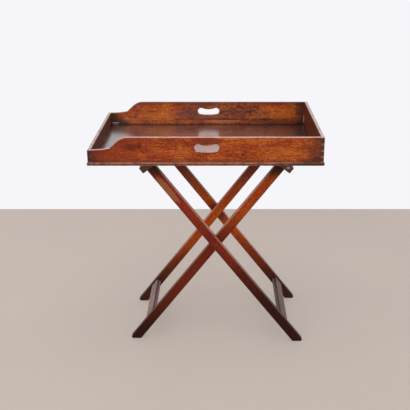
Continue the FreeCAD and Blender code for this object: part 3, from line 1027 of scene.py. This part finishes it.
@dataclass(frozen=True, kw_only=True)
class LegFinish:
    """What one leg looks like.

    Attributes:
        polish: Its finish.
        foot_darkening: Height up to which its foot is fully dark, and the height where that has run out.
        shade: Height down to which its upper end is fully dark with painted shade of the tray and dark stain,
            and the height where that has run out.
        marks: Its other marks, which the darker foot and the painted shade cover.
        foot_darkening_strength: Share of the darker colour on its foot.
        shade_strength: Share of the painted shade and stain at its upper end.
        dark: Colour that its foot darkens to.
        under: Colour of the painted shade and stain at its upper end, under the tray.
    """

    polish: Mahogany
    foot_darkening: tuple[float, float]
    shade: tuple[float, float]
    marks: tuple[Mark, ...] = ()
    foot_darkening_strength: float = 0.95
    shade_strength: float = 0.95
    dark: str = "#270d07"
    under: str = "#270d07"

    def all_marks(self) -> tuple[Mark, ...]:
        """Gives the leg's own marks, then its darker foot and the painted shade and stain at its upper end
        under the tray.
        """
        # The darker foot, then painted shade of the tray with dark stain at the upper end
        ends = (
            (self.foot_darkening, self.dark, self.foot_darkening_strength),
            (self.shade, self.under, self.shade_strength),
        )
        fades = (
            Fade(start=(0, 0, full), end=(0, 0, gone), colour=colour, strength=strength, ragged=0.1)
            for (full, gone), colour, strength in ends
        )
        return (*self.marks, *fades)


@dataclass(kw_only=True)
class LegFrame:
    """One of the two crossing frames: two legs, a top rail and a stretcher.

    Attributes:
        name: Name of the frame's nodes, outer or inner.
        fibre: Direction of the fibres in its legs.
        front: Looks of its front leg.
        rear: Looks of its rear leg.
        rail: Finish of its top rail.
        stretcher: Finish of its stretcher.
        seed: Shift of the figure of its first piece.
        seed_step: Further shift from piece to piece.
        rail_marks: Marks on the top rail.
        end_grain: Colour of the end grain of its pieces.
        stretcher_size: Size of the stretcher's section along and across the legs.
        strip_inset: How far the dark strip lies in from the stretcher's highest edge.
        strip_reach: Reach of that strip to either side.
        highlight_full: Depth to which the upper faces of the legs are fully covered by the painted highlight.
        highlight_gone: Depth at which that has run out.
    """

    name: str
    fibre: Fibre
    front: LegFinish
    rear: LegFinish
    rail: Mahogany
    stretcher: Mahogany
    seed: float
    seed_step: float = 7.0
    rail_marks: tuple[Mark, ...] = ()
    end_grain: str = "#574039"
    stretcher_size: tuple[float, float] = (43 * MM, 19.5 * MM)
    strip_inset: float = 5 * MM
    strip_reach: float = 6 * MM
    highlight_full: float = 0.5 * MM
    highlight_gone: float = 4 * MM

    def axes(self) -> tuple[Vector, Vector]:
        """Gives the direction up along the legs and the one across them, out of their upper faces."""
        up = self.fibre.direction()
        across = Vector((up.z, 0, -up.x))
        return up, across if across.z > 0 else -across

    def dark_strip(self) -> Mark:
        """Gives a dark strip on the stretcher's upper face, along its highest edge.

        The strip lies half the width up along the legs from the middle of the section, and across them a
        little in from the highest edge.

        Returns:
            The mark.
        """
        width, thickness = self.stretcher_size
        low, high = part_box(f"{self.name}_stretcher")
        up, across = self.axes()
        strip = (low + high) / 2 + up * width / 2 + across * (thickness / 2 - self.strip_inset)
        return Patch(
            centre=tuple(strip), radii=(self.strip_reach, THROUGH, self.strip_reach),
            colour="#3a2022", strength=0.8, ragged=0.15,
        )

    def painted_edge_highlight(self) -> Mark:
        """Gives the painted highlight on the upper faces of the legs, which runs out just below them."""
        across = self.axes()[1]
        top = PIVOT + across * LEG_WIDTH / 2
        full, gone = tuple(top - across * self.highlight_full), tuple(top - across * self.highlight_gone)
        return Fade(start=full, end=gone, colour="#c0806a", strength=0.8, ragged=0.2)

    def dress(self) -> None:
        """Puts the finishes on the CAD pieces of the frame."""
        # Painted highlight along the upper faces of the legs
        edge = self.painted_edge_highlight()
        pieces = (
            ("front_leg", self.front.polish, self.fibre, (edge, *self.front.all_marks())),
            ("rear_leg", self.rear.polish, self.fibre, (edge, *self.rear.all_marks())),
            ("top_rail", self.rail, Fibre.ALONG_Y, self.rail_marks),
            ("stretcher", self.stretcher, Fibre.ALONG_Y, (self.dark_strip(),)),
        )
        for number, (part, finish, fibre, marks) in enumerate(pieces):
            seed = self.seed + self.seed_step * number
            blank = WoodBlank(f"{self.name}_{part}", fibre, seed, marks, self.end_grain)
            dress_node(blank.node, finish.material(blank))
        dress_node(f"{self.name}_strap_tacks", TACK_STEEL.material())


def outer_frame() -> LegFrame:
    """Describes the outer frame: a red front leg with a repair, a rear leg painted lighter amber as painted
    light, and a stretcher painted darker as painted shade.

    Returns:
        The frame.
    """
    repair = Patch(
        centre=(-0.1435, 0, 0.651), radii=(80 * MM, THROUGH, 15.5 * MM),
        turn=(0, -math.radians(90) - LEG_LEAN, 0), colour="#9a5a3c", strength=0.8, ragged=0.15, edge=0.3,
    )
    # Dirt and painted shade round the pivot, where the inner legs shade this leg
    pivot_dirt_and_shade = Patch(
        centre=(0.044, 0, 0.418), radii=(60 * MM, THROUGH, 60 * MM),
        colour="#4c1a10", strength=0.7, ragged=0.15,
    )
    return LegFrame(
        name="outer", fibre=Fibre.OUTER_LEG, rail=RED_POLISH, stretcher=SHADED_STRETCHER_POLISH, seed=53.0,
        front=LegFinish(polish=RED_POLISH, foot_darkening=(0.13, 0.54), shade=(0.745, 0.675), marks=(repair,)),
        rear=LegFinish(
            polish=BRIGHTENED_ORANGE_POLISH, foot_darkening=(0.075, 0.385), shade=(0.67, 0.41), marks=(pivot_dirt_and_shade,),
            shade_strength=0.8, dark="#341814", under="#3a1e26",
        ),
    )


def inner_frame() -> LegFrame:
    """Describes the inner frame: an orange front leg, a rear leg painted lighter amber as painted light, and
    a scuffed stretcher with painted sheen.

    Returns:
        The frame.
    """
    # Darker red below the crossing
    darker_below = Fade(start=(0, 0, 0.44), end=(0, 0, 0.56), colour="#5e1c0c", strength=0.9, ragged=0.15)
    chips = Patch(
        centre=(0.303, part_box("inner_top_rail")[0].y, 0.737), radii=(9 * MM, 4 * MM, 5 * MM),
        colour="#ccc0b6", strength=0.75, ragged=0.5, grain_mm=5,
    )
    return LegFrame(
        name="inner", fibre=Fibre.INNER_LEG, rail=RED_POLISH, stretcher=SCUFFED_AND_SHEEN_POLISH, seed=83.0,
        rail_marks=(chips,),
        front=LegFinish(polish=ORANGE_POLISH, foot_darkening=(0.02, 0.28), shade=(0.73, 0.665), marks=(darker_below,)),
        rear=LegFinish(
            polish=BRIGHTENED_ORANGE_POLISH, foot_darkening=(0.075, 0.37), shade=(0.67, 0.43), shade_strength=0.8, dark="#341814",
            under="#3a1e26",
        ),
    )


@dataclass
class Pivots:
    """The pivots at the crossing of the legs.

    Attributes:
        finish: Finish of the pins and washers.
    """

    finish: AgedMetal

    def dress(self) -> None:
        """Puts the finish on the pins and washers."""
        iron = self.finish.material()
        for place in ("front", "rear"):
            for part in ("pivot_pin", "spacer_washer"):
                dress_node(f"{place}_{part}", iron)


@dataclass
class WebbingStrap:
    """A woven band, tacked over both top rails and taut between them.

    Attributes:
        place: Which strap it is, front or rear.
        finish: Finish of the band.
        thickness: Thickness of the band.
        relief: Height of the yarns' ripple.
        sag: How far the middle hangs below the ends.
        bend: Radius of the bend over a rail's edge.
        step: Spacing of the mesh along and across the band.
        squareness: Power of the curve that rounds the band's edges.
    """

    place: str
    finish: JuteWebbing
    thickness: float = 2 * MM
    relief: float = 0.12 * MM
    sag: float = 1.2 * MM
    bend: float = 1.5 * MM
    step: float = 2 * MM
    squareness: int = 16

    def line(self) -> tuple[np.ndarray, float, float]:
        """Works out the middle line of the band.

        Height over x is a level line that bends down by the slope of the rails outside both rail edges: the
        smooth ramp bend * log(1 + exp(t / bend)) of the distance t outside an edge, times the slope, less a
        shallow parabola of sag between the edges.

        Returns:
            Points of the line in metres (x, z), and the x of both rail edges.
        """
        low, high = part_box(f"{self.place}_strap")
        half = self.thickness / 2
        end_left = low.x + half * math.sin(LEG_LEAN)
        end_right = high.x - half * math.sin(LEG_LEAN)
        end_z = low.z + half * math.cos(LEG_LEAN)
        level = high.z - half
        run = (level - end_z) / math.tan(LEG_LEAN)
        edge_left = end_left + run
        edge_right = end_right - run
        x = np.linspace(end_left, end_right, math.ceil((end_right - end_left) / self.step))
        outside = np.stack([edge_left - x, x - edge_right])
        ramp = self.bend * np.logaddexp(0, outside / self.bend)
        middle = (edge_left + edge_right) / 2
        share = np.clip(1 - ((x - middle) / (edge_right - middle)) ** 2, 0, 1)
        z = level - math.tan(LEG_LEAN) * ramp.sum(axis=0) - self.sag * share
        return np.column_stack([x, z]), edge_left, edge_right

    def profile(self, half_width: float) -> tuple[np.ndarray, np.ndarray]:
        """Works out one turn round the band's flat profile, over the top and back along the underside.

        The height is half the thickness times sqrt(1 - t^squareness) at the share t of the half width, so
        both faces meet in a rounded edge.

        Args:
            half_width: Half the width of the band.

        Returns:
            The share of the half width and the height at each point.
        """
        count = round(2 * half_width / self.step)
        share = np.linspace(-1, 1, count + 1)
        height = self.thickness / 2 * np.sqrt(1 - share**self.squareness)
        back = slice(-2, 0, -1)
        return np.concatenate([share, share[back]]), np.concatenate([height, -height[back]])

    def faces(self, rows: int, ring: int) -> list[tuple[int, ...]]:
        """Lists the faces of a closed tube of profiles.

        Walls join each profile to the next, and each end is closed by quads from its upper points to those
        below, which are triangles at the band's edges.

        Args:
            rows: Number of profiles along the band.
            ring: Number of points round a profile.

        Returns:
            The points of each face.
        """
        i, j = np.meshgrid(np.arange(rows - 1), np.arange(ring), indexing="ij")
        after = (j + 1) % ring
        walls = np.stack([i * ring + j, i * ring + after, (i + 1) * ring + after, (i + 1) * ring + j], -1)
        k = np.arange(ring // 2)
        cap = np.stack([k, -k % ring, -(k + 1) % ring, k + 1], -1)
        last = (rows - 1) * ring
        quads = np.concatenate([walls.reshape(-1, 4), cap, last + cap[:, ::-1]])
        return [tuple(dict.fromkeys(quad)) for quad in quads.tolist()]

    def mesh(self, vertices: np.ndarray, flat: np.ndarray) -> bpy.types.Mesh:
        """Makes the mesh of the band with its UV map.

        Args:
            vertices: Points of the surface, by profile and place round it.
            flat: For each point, its place along and across the flat band.

        Returns:
            The mesh.
        """
        made = bpy.data.meshes.new(f"{self.place}_webbing")
        made.from_pydata(vertices.reshape(-1, 3).tolist(), [], self.faces(*vertices.shape[:2]))
        made.polygons.foreach_set("use_smooth", np.ones(len(made.polygons), bool))
        corner = np.zeros(len(made.loops), np.int32)
        made.loops.foreach_get("vertex_index", corner)
        layer = made.uv_layers.new(name=self.finish.UV_NAME)
        layer.data.foreach_set("uv", flat.reshape(-1, 2)[corner].astype(np.float32).ravel())
        made.update()
        made.materials.append(self.finish.material())
        return made

    def build(self) -> None:
        """Builds the band: its profile carried along the middle line, with a ripple of yarns on both faces.

        The yarns add relief * cos * cos along and across the band to the height over the middle line.
        """
        low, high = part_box(f"{self.place}_strap")
        points, edge_left, edge_right = self.line()
        along = np.gradient(points, axis=0)
        along /= np.linalg.norm(along, axis=1)[:, None]
        lengths = np.linalg.norm(np.diff(points, axis=0), axis=1)
        travelled = np.concatenate([[0], np.cumsum(lengths)])
        half_width = (high.y - low.y) / 2
        share, height = self.profile(half_width)
        flat = np.stack(np.broadcast_arrays(travelled[:, None], half_width * share), -1)
        ripple = np.cos(math.pi * flat / (self.finish.yarn_mm * MM)).prod(axis=-1)
        height = height + self.relief * ripple * (np.abs(share) < 1)
        x = points[:, :1] - along[:, 1:] * height
        z = points[:, 1:] + along[:, :1] * height
        y = np.broadcast_to((low.y + high.y) / 2 + half_width * share, x.shape)
        mesh = self.mesh(np.stack([x, y, z], axis=-1), flat)
        band = bpy.data.objects.new(mesh.name, mesh)
        bpy.context.scene.collection.objects.link(band)
        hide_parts(f"{self.place}_strap")
        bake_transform(band)
        LOG.info("built %s, %.0f mm long", band.name, travelled[-1] / MM)


def seen_rays(tree: Tree) -> Any:
    """Finds the rays that show the backdrop: those of the camera, of reflections and through clear pieces.

    Args:
        tree: Node tree that gets the nodes.

    Returns:
        The output that is 1 for those rays and 0 for the rest.
    """
    rays = add_node(tree, "ShaderNodeLightPath").node.outputs
    shiny = add_node(
        tree, "ShaderNodeMath", {0: rays["Is Glossy Ray"], 1: rays["Is Transmission Ray"]},
        operation="MAXIMUM",
    )
    return add_node(tree, "ShaderNodeMath", {0: rays["Is Camera Ray"], 1: shiny}, operation="MAXIMUM")


def one_sided(tree: Tree, shader: Any) -> None:
    """Ends a stage finish that shows on its front only, so that it never hides the object.

    Args:
        tree: Node tree of the finish.
        shader: Output with the shader of the front.
    """
    behind = add_node(tree, "ShaderNodeNewGeometry", out="Backfacing")
    clear = add_node(tree, "ShaderNodeBsdfTransparent")
    both = add_node(tree, "ShaderNodeMixShader", {0: behind, 1: shader, 2: clear})
    add_node(tree, "ShaderNodeOutputMaterial", {"Surface": both})


@dataclass(frozen=True, kw_only=True)
class Lamp:
    """A soft rectangular lamp that points at the middle of the object.

    Attributes:
        name: Name of the lamp.
        place: Where it hangs.
        size: Its width and height.
        power: Its power in watts.
    """

    name: str
    place: tuple[float, float, float]
    size: tuple[float, float]
    power: float

    def hang(self) -> None:
        """Adds the lamp to the scene."""
        light = bpy.data.lights.new(self.name, "AREA")
        light.shape = "RECTANGLE"
        light.size, light.size_y = self.size
        light.energy = self.power
        made = bpy.data.objects.new(self.name, light)
        made.location = self.place
        aim = (CAD_BOX[0] + CAD_BOX[1]) / 2 - made.location
        made.rotation_euler = aim.to_track_quat("-Z", "Y").to_euler()
        bpy.context.scene.collection.objects.link(made)


@dataclass
class Studio:
    """The plain studio around the object: a pale floor, a white backdrop, soft light and the camera.

    Attributes:
        floor_colour: Colour of the floor.
        floor_clouds: Least and most brightness of the faint clouds on the floor.
        cloud_size: Size of those clouds.
        floor_roughness: Roughness of the floor.
        floor_ease: Share of its own even colour that the floor shows, which eases the shadow on it.
        floor_drop: How far the floor lies below the feet, so that their faces don't meet.
        backdrop_colour: Colour of the backdrop and of what polish reflects.
        backdrop_y: Where the backdrop stands behind the object.
        reach: Half the length of the floor and the backdrop.
        sky: Strength of the world's light.
        lamps: A broad lamp overhead and a softer one in front.
        camera_place: Where the camera stands.
        camera_pitch: How far the camera looks down, in degrees.
        lens_mm: Focal length of the camera.
        sensor_mm: Width of its sensor.
        shift_x: Sideways shift of the picture, as a share of its width.
    """

    floor_colour: str = "#c6bab1"
    floor_clouds: tuple[float, float] = (0.94, 1.04)
    cloud_size: float = 5 / 7
    floor_roughness: float = 0.75
    floor_ease: float = 0.5
    floor_drop: float = 0.2 * MM
    backdrop_colour: str = "#f6f6fa"
    backdrop_y: float = 1.268
    reach: float = 9.0
    sky: float = 0.86
    lamps: tuple[Lamp, ...] = (
        Lamp(name="overhead", place=(-0.4, -0.4, 3.2), size=(3.0, 3.0), power=14.0),
        Lamp(name="front", place=(-1.2, -4.0, 2.4), size=(3.2, 2.2), power=54.0),
    )
    camera_place: tuple[float, float, float] = (0.04405, -2.76654, 1.5846)
    camera_pitch: float = 21.13
    lens_mm: float = 64.48
    sensor_mm: float = 36.0
    shift_x: float = -0.0318

    def floor_finish(self) -> bpy.types.Material:
        """Makes the floor's finish: smooth pale concrete with faint clouds, its shadow eased where seen.

        Returns:
            The material.
        """
        made = empty_material("pale_concrete")
        tree = made.node_tree
        place = add_node(tree, "ShaderNodeTexCoord", out="Object")
        clouds = add_node(
            tree, "ShaderNodeTexNoise", {"Vector": place, "Scale": 1 / self.cloud_size, "Detail": 4.0},
            noise_dimensions="3D",
        )
        least, most = self.floor_clouds
        value = add_node(
            tree, "ShaderNodeMapRange", {"Value": clouds, "To Min": least, "To Max": most},
            interpolation_type="LINEAR",
        )
        colour = add_node(
            tree, "ShaderNodeHueSaturation", {"Color": linear(self.floor_colour), "Value": value}
        )
        matt = add_node(
            tree, "ShaderNodeBsdfPrincipled", {"Base Color": colour, "Roughness": self.floor_roughness}
        )
        even = add_node(tree, "ShaderNodeEmission", {"Color": colour})
        seen = add_node(
            tree, "ShaderNodeMath", {0: seen_rays(tree), 1: self.floor_ease}, operation="MULTIPLY"
        )
        one_sided(tree, add_node(tree, "ShaderNodeMixShader", {0: seen, 1: matt, 2: even}))
        return made

    def backdrop_finish(self) -> bpy.types.Material:
        """Makes the backdrop's finish: matt white, and evenly bright where it is seen.

        Returns:
            The material.
        """
        made = empty_material("white_paint")
        tree = made.node_tree
        matt = add_node(tree, "ShaderNodeBsdfDiffuse", {"Color": linear(self.backdrop_colour)})
        bright = add_node(tree, "ShaderNodeEmission", {"Color": linear(self.backdrop_colour)})
        one_sided(tree, add_node(tree, "ShaderNodeMixShader", {0: seen_rays(tree), 1: matt, 2: bright}))
        return made

    def plane(self, name: str, corners: list[tuple[float, float, float]], finish: bpy.types.Material) -> None:
        """Adds one flat stage piece.

        Args:
            name: Name of the piece.
            corners: Its four corners, anticlockwise from the side that shows.
            finish: Its material.
        """
        mesh = bpy.data.meshes.new(name)
        mesh.from_pydata(corners, [], [(0, 1, 2, 3)])
        mesh.materials.append(finish)
        made = bpy.data.objects.new(name, mesh)
        bpy.context.scene.collection.objects.link(made)
        LOG.info("set up %s", name)

    def build_stage(self) -> None:
        """Adds the floor, just under the feet, and the backdrop."""
        r, y, z = self.reach, self.backdrop_y, -self.floor_drop
        self.plane("floor", [(-r, -r, z), (r, -r, z), (r, r, z), (-r, r, z)], self.floor_finish())
        self.plane("backdrop", [(-r, y, z), (r, y, z), (r, y, r), (-r, y, r)], self.backdrop_finish())

    def build_world(self) -> None:
        """Lights the scene evenly from all round, and shows white wherever the world is seen."""
        world = bpy.data.worlds.new("soft_daylight")
        bpy.context.scene.world = world
        world.use_nodes = True
        tree = world.node_tree
        tree.nodes.clear()
        white = linear(self.backdrop_colour)
        even = add_node(tree, "ShaderNodeBackground", {"Color": (1, 1, 1, 1), "Strength": self.sky})
        shown = add_node(tree, "ShaderNodeBackground", {"Color": white, "Strength": 1.0})
        both = add_node(tree, "ShaderNodeMixShader", {0: seen_rays(tree), 1: even, 2: shown})
        add_node(tree, "ShaderNodeOutputWorld", {"Surface": both})

    def build_camera(self) -> None:
        """Sets the camera to the photograph's view."""
        camera = bpy.data.cameras.new("camera")
        camera.sensor_width = self.sensor_mm
        camera.lens = self.lens_mm
        camera.shift_x = self.shift_x
        made = bpy.data.objects.new("camera", camera)
        made.location = self.camera_place
        made.rotation_euler = (math.radians(90 - self.camera_pitch), 0, 0)
        bpy.context.scene.collection.objects.link(made)
        bpy.context.scene.camera = made

    def build(self) -> None:
        """Builds the whole studio."""
        bpy.context.scene.view_settings.view_transform = "Standard"
        self.build_stage()
        self.build_world()
        for lamp in self.lamps:
            lamp.hang()
        self.build_camera()


def main() -> None:
    """Builds and dresses the sub-assemblies in order, then sets up the studio."""
    logging.basicConfig(level=logging.INFO)
    tray = Tray(
        front=BOARD_POLISH, back=BRIGHTENED_POLISH, base=BASE_POLISH,
        low_end=RUBBED_POLISH, high_end=GREY_RIM_POLISH,
    )
    tray.dress()
    outer_frame().dress()
    inner_frame().dress()
    Pivots(PIVOT_IRON).dress()
    for place in ("front", "rear"):
        WebbingStrap(place, JUTE).build()
    Studio().build()


if __name__ == "__main__":
    main()
